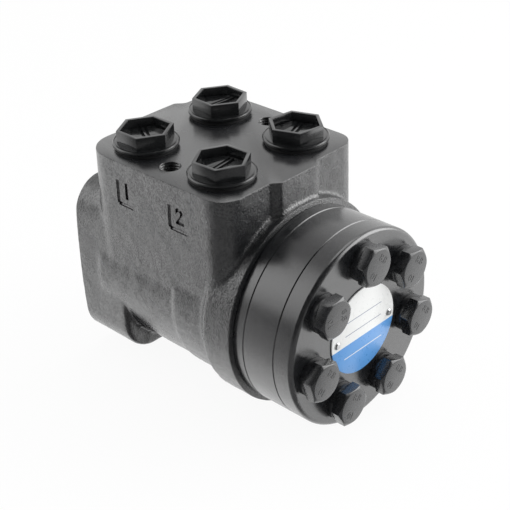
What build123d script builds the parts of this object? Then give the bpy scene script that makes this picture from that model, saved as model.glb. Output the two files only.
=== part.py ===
"""Hydrostatic (orbital) steering unit with four ports, about 125 cm3 class.

Frame: the shaft axis is X. The column face is the plane X = 0, the gear set and the
end cover follow towards +X. The port face looks up, along +Z. Lengths are millimetres.
"""
import math
import os

from build123d import *

os.makedirs("parts", exist_ok=True)

# ---------------------------------------------------------------- housing
housing_length = 99.3          # column face to the distributor plate
flange_thickness = 29.0
flange_half_width = 40.4       # at the ends of the slightly bowed side walls
flange_bow = 0.7               # how far the side walls bow outwards
flange_top = 39.0
flange_bottom = 40.4
flange_corner_radius = 15.5
flange_edge_radius = 1.2
body_radius = 42.2             # cast barrel between flange and collar
collar_radius = 46.0           # round pad that carries the gear set
collar_width = 15.3
collar_slope = 8.0             # length of the hollow slope from barrel to collar
slope_bend = 3.4               # the slope bends this far before the collar
slope_sag = 0.9                # and stands this far off the barrel there
collar_edge_radius = 1.4
port_face_height = 59.6
block_half_width = 40.4
block_front = 9.9              # port block, end over the flange
block_rear_setback = 5.1       # port block, end over the collar, back from the gear set
block_front_corner = 14.0
block_rear_corner = 9.5
front_band_half_width = 16.5   # raised band on the front end wall
front_band_rise = 3.6
rear_band_half_width = 11.0    # raised band on the rear end wall
rear_band_rise = 3.0
draft_angle = 0.9              # casting draft of the block walls, degrees

# ---------------------------------------------------------------- ports
port_pitch = 45.1              # along the shaft
port_half_spacing = 22.1       # across the shaft
port_middle = 52.9             # X of the middle of the four ports
port_radius = 10.48            # G 1/2 thread, plain at its nominal diameter
port_depth = 16.0
port_chamfer = 0.8
block_screw_radius = 5.0       # M10, plain at its nominal diameter
block_screw_half_spacing = 29.4
block_screw_depth = 18.0

# ---------------------------------------------------------------- column face
column_circle_radius = 41.25
column_screw_radius = 5.0      # M10, plain at its nominal diameter
column_screw_depth = 18.0
dust_pocket_radius = 18.0
dust_pocket_depth = 5.0
land_clearance = 0.6           # land between the two seals, off the spool neck
seal_land_end = 7.0            # X where the shaft seal pocket starts
seal_pocket_radius = 17.5
bearing_shoulder = 13.5        # X of the shoulder that carries the thrust bearing

# ---------------------------------------------------------------- valve set
bore_radius = 19.0
running_clearance = 0.03
sleeve_wall = 4.0
neck_radius = 13.0
neck_start = 1.5
race_thickness = 2.0
race_inner_radius = 13.4
race_outer_radius = 18.8
needle_radius = 1.5
needle_length = 4.0
needle_count = 10
cage_thickness = 1.8
cage_clearance = 0.15
needle_play = 0.05             # needle in its window of the cage
race_play = 0.01               # needle between the races
spool_cavity_radius = 12.0
web_end = 31.0                 # the solid middle of the spool ends here
socket_end = 20.0              # bottom of the splined socket
socket_teeth = 12
socket_minor_radius = 8.75     # 16/32 diametral pitch
socket_major_radius = 10.4
socket_space_width = 2.5       # space between teeth at the pitch circle
socket_flank_angle = 30.0
spool_end_gap = 0.4            # spool to distributor plate
spool_shoulder_gap = 0.3       # spool to the inner race
sleeve_end_gap = 0.1           # sleeve to distributor plate
spool_turn_limit = 8.0         # degrees that the spool turns in the sleeve, each way
turn_play = 0.5                # degrees left free beyond that
sleeve_row_setbacks = (53.3, 28.3, 11.3)   # rows of oil holes, back from the gear set
sleeve_row_holes = 4
sleeve_hole_radius = 1.5
spool_slots = 4
spool_slot_setback = 30.3      # start of the slots, back from the gear set
spool_slot_length = 21.0
spool_slot_width = 3.0
spool_slot_depth = 1.2
spring_start = 22.2
spring_width = 6.0
leaf_thickness = 0.6
leaf_gap = 0.04
leaf_count = 6
spring_half_length = 17.3
spring_clearance = 0.15
ring_wall = 1.2
ring_overhang = 1.0            # the ring's seat ends this far behind the springs
ring_clearance = 0.05
ring_setback = 0.5             # ring to the ends of its seat on the sleeve
pin_position = 38.0
pin_radius = 3.0
pin_half_length = 18.4
pin_chamfer = 0.5
pin_fit = 0.02
pin_slot_clearance = 0.2

# ---------------------------------------------------------------- gear set
stack_radius = 43.5            # plate, gear ring and cover
plate_thickness = 5.5
ring_width = 16.2
cover_thickness = 9.5
cover_edge_radius = 1.8
seam_chamfer = 0.35
plate_bore_radius = 11.8
channel_circle = 26.5
channel_radius = 2.4
screw_count = 7
screw_circle = 31.6
lobe_radius = 7.0
eccentricity = 3.0
rotor_lobes = 6
rotor_tip_clearance = 0.05
rotor_side_clearance = 0.05
pocket_corner_radius = 1.5
points_per_lobe = 20
spline_teeth = 10
spline_minor_radius = 9.9      # link spline, at the root
spline_major_radius = 11.6     # link spline, at the tip
spline_tooth_width = 3.4
spline_clearance = 0.35        # lets the link lean in the rotor
link_spline_setback = 0.6      # into the gear ring
link_spline_length = 8.8
link_shaft_radius = 7.5
fork_radius = 10.2
fork_start = 33.2
fork_end = 46.5
fork_slot_half_width = 3.6
fork_slot_end = 42.6
spacer_radius = 9.6
spacer_gap = 0.8               # spacer to the leaning end of the link

# ---------------------------------------------------------------- fasteners and seals
screw_radius = 4.0             # M8
screw_hole_clearance = 0.25
tapped_clearance = 0.05
tapped_depth = 18.0
screw_grip = 15.0              # length of the screw in the housing
head_across_flats = 13.0
head_height = 5.5
head_chamfer_angle = 30.0
head_chamfer_free = 0.6        # the chamfer tool passes the corners by this
head_face_radius = 6.24        # round flat left by the chamfer
head_turn = 12.0               # how the tightened heads happen to stand
washer_thickness = 2.1
washer_radius = 8.0
special_screw_number = 5       # counted from the top screw towards +Y
check_bore_radius = 3.4
check_bore_depth = 35.8        # from the gear set
seat_setback = 34.8            # start of the seat, back from the gear set
seat_length = 6.0
seat_hole_radius = 2.0
seat_fit = 0.03
ball_radius = 3.0
ball_gap = 0.1
ball_travel = 2.0
stop_pin_radius = 1.5
stop_pin_socket = 4.0          # depth of the pin in the special screw
name_plate_radius = 19.8
name_plate_thickness = 0.6
rivet_radius = 0.8
rivet_head_radius = 1.6
rivet_head_height = 0.8
rivet_head_chamfer = 0.5
rivet_length = 4.0
rivet_circle_radius = 16.5
rivet_angles = (0.0, 180.0)
o_ring_radius = 0.9
o_ring_corner = 0.5
o_ring_circle = 39.6
o_ring_groove_width = 2.4
o_ring_free = 0.05             # left between an O-ring and its groove
seal_free = 0.05               # running gap of the seals on the spool neck
dust_seal_face = 0.8           # the dust seal stands back in its pocket
dust_lip_start = 0.6
dust_lip_width = 1.2
dust_web = 1.8                 # height of the lip

# ---------------------------------------------------------------- port plugs
plug_shank_radius = 10.3
plug_shank_depth = 11.0
plug_shank_bore = 7.8
plug_flange_radius = 14.2
plug_flange_edge = 0.4
plug_flange_bottom = 1.3       # above the port face
plug_flange_top = 3.0
plug_hex_across_flats = 21.4
plug_hex_wall = 1.4
plug_height = 8.5              # rim above the port face
plug_floor = 1.2               # cup floor above the flange top
plug_neck_radius = 11.6
plug_rib_height = 1.6
plug_rib_width = 1.0
plug_seal_radius = 13.4
plug_turns = (0.0, 3.0, -3.0, 20.0)

# ---------------------------------------------------------------- drawing aids
through = 1.0                  # cuts start this far outside the material
overlap = 0.5                  # teeth are drawn this far into their root circle

# ---------------------------------------------------------------- derived places
plate_start = housing_length
ring_start = plate_start + plate_thickness
cover_start = ring_start + ring_width
cover_face = cover_start + cover_thickness
head_seat = cover_face + washer_thickness
collar_start = housing_length - collar_width
slope_start = collar_start - collar_slope
slope_middle = collar_start - slope_bend
block_rear = housing_length - block_rear_setback
low_corner = flange_corner_radius - flange_bottom
high_corner = flange_top - flange_corner_radius
side_corner = flange_half_width - flange_corner_radius
corner_middle = flange_corner_radius * math.sqrt(0.5)
screw_hole_radius = screw_radius + screw_hole_clearance
tapped_radius = screw_radius + tapped_clearance
tapped_end = housing_length - tapped_depth
check_bore_end = housing_length - check_bore_depth
seat_start = housing_length - seat_setback
screw_step = 360.0 / screw_count
screw_places = [
    (screw_circle * math.cos(math.radians(90 - k * screw_step)),
     screw_circle * math.sin(math.radians(90 - k * screw_step)))
    for k in range(screw_count)
]
plain_screw_places = [p for k, p in enumerate(screw_places) if k != special_screw_number]
special_place = screw_places[special_screw_number]
screw_tip = housing_length - screw_grip
head_top = head_seat + head_height
head_reach = head_across_flats / math.sqrt(3) + head_chamfer_free
head_drop = (head_reach - head_face_radius) * math.tan(math.radians(head_chamfer_angle))
channel_start_angle = 90 - screw_step / 2
port_places = [
    (port_middle - port_pitch / 2, -port_half_spacing),
    (port_middle + port_pitch / 2, -port_half_spacing),
    (port_middle - port_pitch / 2, port_half_spacing),
    (port_middle + port_pitch / 2, port_half_spacing),
]
sleeve_radius = bore_radius - running_clearance
sleeve_bore = bore_radius - sleeve_wall
spool_radius = sleeve_bore - running_clearance
race_stack_end = bearing_shoulder + 2 * race_thickness + 2 * needle_radius
sleeve_start = race_stack_end
sleeve_rows = [housing_length - setback for setback in sleeve_row_setbacks]
spool_slot_start = housing_length - spool_slot_setback
sleeve_end = housing_length - sleeve_end_gap
spool_shoulder = sleeve_start + spool_shoulder_gap
spool_end = housing_length - spool_end_gap
spring_end = spring_start + spring_width
spring_half_height = leaf_thickness * leaf_count / 2
spring_room = spring_half_height + spring_clearance
sleeve_neck_end = spring_end + ring_overhang
sleeve_neck_radius = sleeve_radius - ring_wall - ring_clearance
turn_slope = math.tan(math.radians(spool_turn_limit + turn_play))
flare_reach = spool_radius + through
flare_height = spring_room + flare_reach * turn_slope
rotor_start = ring_start + rotor_side_clearance
rotor_width = ring_width - 2 * rotor_side_clearance
link_spline_start = ring_start + link_spline_setback
link_spline_end = link_spline_start + link_spline_length
link_spline_middle = (link_spline_start + link_spline_end) / 2
spline_tooth_length = spline_major_radius - spline_minor_radius + 2 * overlap
spline_middle_radius = spline_major_radius - spline_tooth_length / 2
pocket_radius = screw_circle - lobe_radius + 2 * eccentricity + rotor_tip_clearance


def disc(start, length, radius, mode=Mode.ADD):
    """Add or cut a plain round disc on the shaft axis."""
    with BuildSketch(Plane.YZ.offset(start)) as outline:
        Circle(radius)
    extrude(outline.sketch, amount=length, mode=mode)


def tube(start, length, outer, inner):
    """Add a tube on the shaft axis."""
    with BuildSketch(Plane.YZ.offset(start)) as outline:
        Circle(outer)
        Circle(inner, mode=Mode.SUBTRACT)
    extrude(outline.sketch, amount=length)


def holes_at(places, start, length, radius):
    """Cut round holes along the shaft at the given (y, z) places."""
    with BuildSketch(Plane.YZ.offset(start)) as outline:
        with Locations(*places):
            Circle(radius)
    extrude(outline.sketch, amount=length, mode=Mode.SUBTRACT)


def face_groove(face, into):
    """Cut the O-ring groove into a face; into is +1 or -1 along the shaft."""
    depth = 2 * (o_ring_radius + o_ring_free)
    with BuildSketch(Plane.YZ.offset(face)) as groove:
        Circle(o_ring_circle + o_ring_groove_width / 2)
        Circle(o_ring_circle - o_ring_groove_width / 2, mode=Mode.SUBTRACT)
    extrude(groove.sketch, amount=into * depth, mode=Mode.SUBTRACT)


def finish(part, label):
    """Name the finished piece and write it."""
    part.label = label
    export_step(part, f"parts/{label}.step")


# ================================================================ housing
with BuildPart() as housing:
    # column flange: a rounded square whose side walls bow out a little
    with BuildSketch(Plane.YZ):
        with BuildLine():
            right = ThreePointArc(
                (flange_half_width, low_corner),
                (flange_half_width + flange_bow, (low_corner + high_corner) / 2),
                (flange_half_width, high_corner),
            )
            upper_right = ThreePointArc(
                right @ 1,
                (side_corner + corner_middle, high_corner + corner_middle),
                (side_corner, flange_top),
            )
            upper_left = ThreePointArc(
                (-side_corner, flange_top),
                (-side_corner - corner_middle, high_corner + corner_middle),
                (-flange_half_width, high_corner),
            )
            Line(upper_right @ 1, upper_left @ 0)
            left = ThreePointArc(
                upper_left @ 1,
                (-flange_half_width - flange_bow, (low_corner + high_corner) / 2),
                (-flange_half_width, low_corner),
            )
            lower_left = ThreePointArc(
                left @ 1,
                (-side_corner - corner_middle, low_corner - corner_middle),
                (-side_corner, -flange_bottom),
            )
            lower_right = ThreePointArc(
                (side_corner, -flange_bottom),
                (side_corner + corner_middle, low_corner - corner_middle),
                right @ 0,
            )
            Line(lower_left @ 1, lower_right @ 0)
        make_face()
    extrude(amount=flange_thickness)
    flange_edges = housing.edges().group_by(Axis.X)[-1]
    fillet(flange_edges, flange_edge_radius)

    # port block with its two raised end bands, drawn at the port face
    with BuildSketch(Plane.XY.offset(port_face_height)) as block_outline:
        with BuildLine():
            Polyline(
                (block_front, -block_half_width),
                (block_rear, -block_half_width),
                (block_rear, -rear_band_half_width - rear_band_rise),
                (block_rear + rear_band_rise, -rear_band_half_width),
                (block_rear + rear_band_rise, rear_band_half_width),
                (block_rear, rear_band_half_width + rear_band_rise),
                (block_rear, block_half_width),
                (block_front, block_half_width),
                (block_front, front_band_half_width + front_band_rise),
                (block_front - front_band_rise, front_band_half_width),
                (block_front - front_band_rise, -front_band_half_width),
                (block_front, -front_band_half_width - front_band_rise),
                close=True,
            )
        make_face()
        outer_corners = block_outline.vertices().group_by(Axis.Y)
        side_corners = outer_corners[0] + outer_corners[-1]
        fillet(side_corners.group_by(Axis.X)[0], block_front_corner)
        side_corners = (
            block_outline.vertices().group_by(Axis.Y)[0]
            + block_outline.vertices().group_by(Axis.Y)[-1]
        )
        fillet(side_corners.group_by(Axis.X)[-1], block_rear_corner)
    extrude(amount=-port_face_height, taper=-draft_angle)

    # barrel and collar, turned round the shaft axis
    with BuildSketch(Plane.XY) as barrel:
        with BuildLine():
            Polyline(
                (0, 0),
                (0, bore_radius),
                (flange_thickness / 2, bore_radius),
                (flange_thickness / 2, body_radius),
                (slope_start, body_radius),
            )
            ThreePointArc(
                (slope_start, body_radius),
                (slope_middle, body_radius + slope_sag),
                (collar_start, collar_radius),
            )
            Polyline(
                (collar_start, collar_radius),
                (housing_length, collar_radius),
                (housing_length, 0),
                (0, 0),
            )
        make_face()
    revolve(axis=Axis.X)

    # valve bore with its grooves and the stepped mouth on the column side
    disc(bearing_shoulder, housing_length - bearing_shoulder, bore_radius, Mode.SUBTRACT)
    disc(seal_land_end, bearing_shoulder - seal_land_end, seal_pocket_radius, Mode.SUBTRACT)
    disc(0, seal_land_end, neck_radius + land_clearance, Mode.SUBTRACT)
    disc(0, dust_pocket_depth, dust_pocket_radius, Mode.SUBTRACT)

    # ports and the two block screws
    with BuildSketch(Plane.XY.offset(port_face_height)):
        with Locations(*port_places):
            Circle(port_radius)
    extrude(amount=-port_depth, mode=Mode.SUBTRACT)
    with BuildSketch(Plane.XY.offset(port_face_height)):
        with Locations((port_middle, -block_screw_half_spacing), (port_middle, block_screw_half_spacing)):
            Circle(block_screw_radius)
    extrude(amount=-block_screw_depth, mode=Mode.SUBTRACT)
    mouths = housing.edges().filter_by(GeomType.CIRCLE).group_by(Axis.Z)[-1]
    chamfer(mouths.filter_by(lambda mouth: abs(mouth.radius - port_radius) < port_chamfer), port_chamfer)

    # column screws
    with BuildSketch(Plane.YZ):
        with PolarLocations(column_circle_radius, 4, start_angle=45):
            Circle(column_screw_radius)
    extrude(amount=column_screw_depth, mode=Mode.SUBTRACT)

    # cover screws, check valve bore and the O-ring groove
    holes_at(screw_places, tapped_end, tapped_depth, tapped_radius)
    holes_at([special_place], check_bore_end, tapped_end - check_bore_end, check_bore_radius)
    face_groove(housing_length, -1)
finish(housing.part, "housing")

# ================================================================ distributor plate
with BuildPart() as distributor_plate:
    disc(plate_start, plate_thickness, stack_radius)
    chamfer(distributor_plate.edges().filter_by(GeomType.CIRCLE), seam_chamfer)
    disc(plate_start, plate_thickness, plate_bore_radius, Mode.SUBTRACT)
    holes_at(screw_places, plate_start, plate_thickness, screw_hole_radius)
    with BuildSketch(Plane.YZ.offset(plate_start)):
        with PolarLocations(channel_circle, screw_count, start_angle=channel_start_angle):
            Circle(channel_radius)
    extrude(amount=plate_thickness, mode=Mode.SUBTRACT)
finish(distributor_plate.part, "distributor_plate")

# ================================================================ gear ring
with BuildPart() as gear_ring:
    disc(ring_start, ring_width, stack_radius)
    chamfer(gear_ring.edges().filter_by(GeomType.CIRCLE), seam_chamfer)
    with BuildSketch(Plane.YZ.offset(ring_start)) as pocket_outline:
        Circle(pocket_radius)
        with PolarLocations(screw_circle, screw_count, start_angle=90):
            Circle(lobe_radius, mode=Mode.SUBTRACT)
        fillet(pocket_outline.vertices(), pocket_corner_radius)
    extrude(amount=ring_width, mode=Mode.SUBTRACT)
    holes_at(screw_places, ring_start, ring_width, screw_hole_radius)
    face_groove(ring_start, 1)
finish(gear_ring.part, "gear_ring")

# ================================================================ end cover
with BuildPart() as end_cover:
    disc(cover_start, cover_thickness, stack_radius)
    rims = end_cover.edges().filter_by(GeomType.CIRCLE).sort_by(Axis.X)
    chamfer(rims[0], seam_chamfer)
    fillet(end_cover.edges().filter_by(GeomType.CIRCLE).sort_by(Axis.X)[-1], cover_edge_radius)
    holes_at(screw_places, cover_start, cover_thickness, screw_hole_radius)
    with BuildSketch(Plane.YZ.offset(cover_face)):
        for rivet_angle in rivet_angles:
            with PolarLocations(rivet_circle_radius, 1, start_angle=rivet_angle):
                Circle(rivet_radius)
    extrude(amount=-rivet_length, mode=Mode.SUBTRACT)
    face_groove(cover_start, 1)
finish(end_cover.part, "end_cover")

# ================================================================ cover screws and washers
def hexagon_screws(places):
    """Add hexagon screws with their heads on the washers, chamfered all round."""
    with BuildSketch(Plane.YZ.offset(screw_tip)) as shanks:
        with Locations(*places):
            Circle(screw_radius)
    extrude(shanks.sketch, amount=head_seat - screw_tip)
    with BuildSketch(Plane.YZ.offset(head_seat)) as heads:
        with Locations(*places):
            RegularPolygon(head_across_flats / 2, 6, major_radius=False, rotation=head_turn)
    extrude(heads.sketch, amount=head_height)
    for y, z in places:
        with BuildSketch(Plane(origin=(head_top, y, z), x_dir=(1, 0, 0), z_dir=(0, 0, 1))) as cut:
            with BuildLine():
                Polyline((0, head_face_radius), (0, head_reach), (-head_drop, head_reach), close=True)
            make_face()
        revolve(cut.sketch, axis=Axis((0, y, z), (1, 0, 0)), mode=Mode.SUBTRACT)


with BuildPart() as cover_screws:
    hexagon_screws(plain_screw_places)
finish(cover_screws.part, "cover_screws")

# the special screw carries the stop pin of the check ball in its tip
with BuildPart() as special_screw:
    hexagon_screws([special_place])
    holes_at([special_place], screw_tip, stop_pin_socket, stop_pin_radius)
finish(special_screw.part, "special_screw")

with BuildPart() as cover_washers:
    with BuildSketch(Plane.YZ.offset(cover_face)):
        with Locations(*screw_places):
            Circle(washer_radius)
            Circle(screw_hole_radius, mode=Mode.SUBTRACT)
    extrude(amount=washer_thickness)
finish(cover_washers.part, "cover_washers")

# ================================================================ check valve
ball_place = seat_start + seat_length + math.sqrt(ball_radius**2 - seat_hole_radius**2) + ball_gap
stop_pin_tip = ball_place + ball_radius + ball_travel + ball_gap

with BuildPart() as check_seat:
    with BuildSketch(Plane.YZ.offset(seat_start)):
        with Locations(special_place):
            Circle(check_bore_radius - seat_fit)
            Circle(seat_hole_radius, mode=Mode.SUBTRACT)
    extrude(amount=seat_length)
finish(check_seat.part, "check_seat")

with BuildPart() as check_ball:
    with Locations((ball_place, *special_place)):
        Sphere(ball_radius)
finish(check_ball.part, "check_ball")

with BuildPart() as stop_pin:
    with BuildSketch(Plane.YZ.offset(stop_pin_tip)):
        with Locations(special_place):
            Circle(stop_pin_radius)
    extrude(amount=screw_tip + stop_pin_socket - stop_pin_tip)
finish(stop_pin.part, "stop_pin")

# ================================================================ name plate
rivet_places = [
    (rivet_circle_radius * math.cos(math.radians(a)), rivet_circle_radius * math.sin(math.radians(a)))
    for a in rivet_angles
]
with BuildPart() as name_plate:
    disc(cover_face, name_plate_thickness, name_plate_radius)
    holes_at(rivet_places, cover_face, name_plate_thickness, rivet_radius)
finish(name_plate.part, "name_plate")

with BuildPart() as name_plate_rivets:
    with BuildSketch(Plane.YZ.offset(cover_face - rivet_length)):
        with Locations(*rivet_places):
            Circle(rivet_radius)
    extrude(amount=rivet_length + name_plate_thickness)
    with BuildSketch(Plane.YZ.offset(cover_face + name_plate_thickness)):
        with Locations(*rivet_places):
            Circle(rivet_head_radius)
    extrude(amount=rivet_head_height)
    rivet_rims = name_plate_rivets.edges().filter_by(GeomType.CIRCLE).group_by(Axis.X)[-1]
    chamfer(rivet_rims, rivet_head_chamfer)
finish(name_plate_rivets.part, "name_plate_rivets")

# ================================================================ O-rings between the faces
o_ring_places = {
    "housing_o_ring": housing_length - o_ring_radius - o_ring_free,
    "plate_o_ring": ring_start + o_ring_radius + o_ring_free,
    "cover_o_ring": cover_start + o_ring_radius + o_ring_free,
}
for o_ring_name, o_ring_x in o_ring_places.items():
    with BuildPart() as o_ring:
        # squeezed on all sides, the section is a square with wide corners
        with BuildSketch(Plane.XY) as section:
            with Locations((o_ring_x, o_ring_circle)):
                Rectangle(2 * o_ring_radius, 2 * o_ring_radius)
            chamfer(section.vertices(), o_ring_corner)
        revolve(axis=Axis.X)
    finish(o_ring.part, o_ring_name)

# ================================================================ shaft sealing
with BuildPart() as dust_seal:
    with BuildSketch(Plane.XY):
        with BuildLine():
            Polyline(
                (dust_seal_face, neck_radius + dust_web),
                (dust_seal_face, dust_pocket_radius),
                (dust_pocket_depth, dust_pocket_radius),
                (dust_pocket_depth, neck_radius + dust_web),
                (2 * dust_lip_width, neck_radius + dust_web),
                (dust_lip_start + dust_lip_width, neck_radius + seal_free),
                (dust_lip_start, neck_radius + seal_free),
                close=True,
            )
        make_face()
    revolve(axis=Axis.X)
finish(dust_seal.part, "dust_seal")

with BuildPart() as shaft_seal:
    tube(seal_land_end, bearing_shoulder - seal_land_end, seal_pocket_radius, neck_radius + seal_free)
finish(shaft_seal.part, "shaft_seal")

# ================================================================ thrust bearing
cage_middle = bearing_shoulder + race_thickness + needle_radius
inner_race_start = cage_middle + needle_radius
with BuildPart() as bearing_outer_race:
    tube(bearing_shoulder, race_thickness, race_outer_radius, race_inner_radius)
finish(bearing_outer_race.part, "bearing_outer_race")

with BuildPart() as bearing_inner_race:
    tube(inner_race_start, race_thickness, race_outer_radius, race_inner_radius)
finish(bearing_inner_race.part, "bearing_inner_race")

needle_middle = (race_inner_radius + race_outer_radius) / 2
with BuildPart() as bearing_cage:
    tube(cage_middle - cage_thickness / 2, cage_thickness, race_outer_radius - cage_clearance, race_inner_radius + cage_clearance)
    with BuildSketch(Plane.YZ.offset(cage_middle - cage_thickness / 2)):
        with PolarLocations(needle_middle, needle_count):
            Rectangle(needle_length + 2 * needle_play, 2 * (needle_radius + needle_play))
    extrude(amount=cage_thickness, mode=Mode.SUBTRACT)
finish(bearing_cage.part, "bearing_cage")

with BuildPart() as bearing_needles:
    for k in range(needle_count):
        turned = Plane.YZ.offset(cage_middle).rotated((k * 360 / needle_count, 0, 0))
        needle_foot = turned.from_local_coords((needle_middle - needle_length / 2, 0, 0))
        with BuildSketch(Plane(origin=needle_foot, z_dir=turned.x_dir)):
            Circle(needle_radius - race_play)
        extrude(amount=needle_length)
finish(bearing_needles.part, "bearing_needles")

# ================================================================ sleeve and its pieces
hole_step = 360 / sleeve_row_holes
with BuildPart() as sleeve:
    tube(sleeve_start, sleeve_end - sleeve_start, sleeve_radius, sleeve_bore)
    with BuildSketch(Plane.YZ.offset(sleeve_start)):
        Circle(sleeve_radius + through)
        Circle(sleeve_neck_radius, mode=Mode.SUBTRACT)
    extrude(amount=sleeve_neck_end - sleeve_start, mode=Mode.SUBTRACT)
    with BuildSketch(Plane.YZ.offset(spring_start - spring_clearance)):
        Rectangle(2 * sleeve_radius, 2 * spring_room)
    extrude(amount=spring_width + 2 * spring_clearance, mode=Mode.SUBTRACT)
    with BuildSketch(Plane.XY.offset(-sleeve_radius)):
        with Locations((pin_position, 0)):
            Circle(pin_radius + pin_fit)
    extrude(amount=2 * sleeve_radius, mode=Mode.SUBTRACT)
    for hole_x in sleeve_rows:
        for k in range(sleeve_row_holes // 2):
            hole_angle = math.radians((k + 0.5) * hole_step)
            across = Plane(
                origin=(hole_x, 0, 0),
                x_dir=(1, 0, 0),
                z_dir=(0, math.cos(hole_angle), math.sin(hole_angle)),
            )
            with BuildSketch(across):
                Circle(sleeve_hole_radius)
            extrude(amount=sleeve_radius, both=True, mode=Mode.SUBTRACT)
finish(sleeve.part, "sleeve")

with BuildPart() as retaining_ring:
    tube(sleeve_start + ring_setback, sleeve_neck_end - sleeve_start - 2 * ring_setback,
         sleeve_radius, sleeve_neck_radius + ring_clearance)
finish(retaining_ring.part, "retaining_ring")

with BuildPart() as centring_springs:
    with BuildSketch(Plane.YZ.offset(spring_start)):
        for k in range(leaf_count):
            leaf_height = (k + 0.5) * leaf_thickness - spring_half_height
            with Locations((0, leaf_height)):
                Rectangle(2 * spring_half_length, leaf_thickness - leaf_gap)
    extrude(amount=spring_width)
finish(centring_springs.part, "centring_springs")

with BuildPart() as cross_pin:
    with BuildSketch(Plane.XY.offset(-pin_half_length)):
        with Locations((pin_position, 0)):
            Circle(pin_radius)
    extrude(amount=2 * pin_half_length)
    chamfer(cross_pin.edges().filter_by(GeomType.CIRCLE), pin_chamfer)
finish(cross_pin.part, "cross_pin")

# ================================================================ spool
socket_pitch_radius = (socket_minor_radius + socket_major_radius) / 2
socket_flare = math.tan(math.radians(socket_flank_angle))
inner_half = socket_space_width / 2 + (socket_pitch_radius - socket_minor_radius + overlap) * socket_flare
outer_half = socket_space_width / 2 - (socket_major_radius - socket_pitch_radius) * socket_flare
with BuildPart() as spool:
    disc(neck_start, spool_shoulder - neck_start, neck_radius)
    disc(spool_shoulder, spool_end - spool_shoulder, spool_radius)
    disc(web_end, spool_end - web_end, spool_cavity_radius, Mode.SUBTRACT)
    # splined socket for the steering column
    with BuildSketch(Plane.YZ.offset(neck_start)) as socket_outline:
        Circle(socket_minor_radius)
        with BuildSketch(Plane.YZ.offset(neck_start), mode=Mode.PRIVATE) as space:
            with BuildLine():
                Polyline(
                    (socket_minor_radius - overlap, -inner_half),
                    (socket_major_radius, -outer_half),
                    (socket_major_radius, outer_half),
                    (socket_minor_radius - overlap, inner_half),
                    close=True,
                )
            make_face()
        with PolarLocations(0, socket_teeth):
            add(space.sketch_local)
    extrude(amount=socket_end - neck_start, mode=Mode.SUBTRACT)
    # slot for the centring springs, flared for the turn of the spool in the sleeve
    with BuildSketch(Plane.YZ.offset(spring_start - spring_clearance)):
        with BuildLine():
            Polyline(
                (0, spring_room),
                (flare_reach, flare_height),
                (flare_reach, -flare_height),
                (0, -spring_room),
                (-flare_reach, -flare_height),
                (-flare_reach, flare_height),
                close=True,
            )
        make_face()
    extrude(amount=spring_width + 2 * spring_clearance, mode=Mode.SUBTRACT)
    # long holes for the cross pin
    with BuildSketch(Plane.XY.offset(-spool_radius - through)):
        with Locations((pin_position, 0)):
            SlotOverall(
                2 * (pin_radius + spool_radius * turn_slope + pin_slot_clearance),
                2 * (pin_radius + pin_slot_clearance),
                rotation=90,
            )
    extrude(amount=2 * (spool_radius + through), mode=Mode.SUBTRACT)
    # oil slots along the outside
    with BuildSketch(Plane.YZ.offset(spool_slot_start)):
        with PolarLocations(spool_radius, spool_slots, start_angle=180 / spool_slots):
            Rectangle(2 * spool_slot_depth, spool_slot_width)
    extrude(amount=spool_slot_length, mode=Mode.SUBTRACT)
finish(spool.part, "spool")

# ================================================================ drive link
rotor_centre_z = eccentricity
link_plane = Plane(
    origin=(pin_position, 0, 0),
    x_dir=(0, 1, 0),
    z_dir=(link_spline_middle - pin_position, 0, rotor_centre_z),
)
with BuildPart() as drive_link:
    with BuildSketch(link_plane.offset(fork_start - pin_position)):
        Circle(fork_radius)
    extrude(amount=fork_end - fork_start)
    with BuildSketch(link_plane.offset(fork_end - pin_position)):
        Circle(link_shaft_radius)
    extrude(amount=link_spline_start - fork_end)
    with BuildSketch(link_plane.offset(link_spline_start - pin_position)):
        Circle(spline_minor_radius)
        with PolarLocations(spline_middle_radius, spline_teeth):
            Rectangle(spline_tooth_length, spline_tooth_width)
    extrude(amount=link_spline_length)
    with BuildSketch(link_plane.offset(fork_start - pin_position - through)):
        Rectangle(2 * fork_slot_half_width, 2 * (fork_radius + through))
    extrude(amount=fork_slot_end - fork_start + through, mode=Mode.SUBTRACT)
finish(drive_link.part, "drive_link")

# ================================================================ rotor and its spacer
inset = lobe_radius + rotor_tip_clearance
profile = []
for k in range(rotor_lobes * points_per_lobe):
    turn = 2 * math.pi * k / (rotor_lobes * points_per_lobe)
    ring_lobes = rotor_lobes + 1
    base_x = screw_circle * math.cos(turn) - eccentricity * math.cos(ring_lobes * turn)
    base_y = screw_circle * math.sin(turn) - eccentricity * math.sin(ring_lobes * turn)
    run_x = -screw_circle * math.sin(turn) + ring_lobes * eccentricity * math.sin(ring_lobes * turn)
    run_y = screw_circle * math.cos(turn) - ring_lobes * eccentricity * math.cos(ring_lobes * turn)
    run = math.hypot(run_x, run_y)
    flank = (base_x - inset * run_y / run, base_y + inset * run_x / run)
    # the first valley looks up, at the top lobe of the ring
    profile.append((-flank[1], flank[0]))

rotor_plane = Plane(origin=(rotor_start, 0, rotor_centre_z), x_dir=(0, 1, 0), z_dir=(1, 0, 0))
with BuildPart() as rotor:
    with BuildSketch(rotor_plane):
        with BuildLine():
            Spline(*profile, periodic=True)
        make_face()
    extrude(amount=rotor_width)
    with BuildSketch(rotor_plane):
        Circle(spline_minor_radius + spline_clearance)
        with PolarLocations(spline_middle_radius, spline_teeth):
            Rectangle(
                spline_tooth_length + 2 * spline_clearance,
                spline_tooth_width + 2 * spline_clearance,
            )
    extrude(amount=rotor_width, mode=Mode.SUBTRACT)
finish(rotor.part, "rotor")

spacer_plane = rotor_plane.offset(link_spline_end + spacer_gap - rotor_start)
with BuildPart() as rotor_spacer:
    with BuildSketch(spacer_plane):
        Circle(spacer_radius)
    extrude(amount=cover_start - rotor_side_clearance - link_spline_end - spacer_gap)
finish(rotor_spacer.part, "rotor_spacer")

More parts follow.
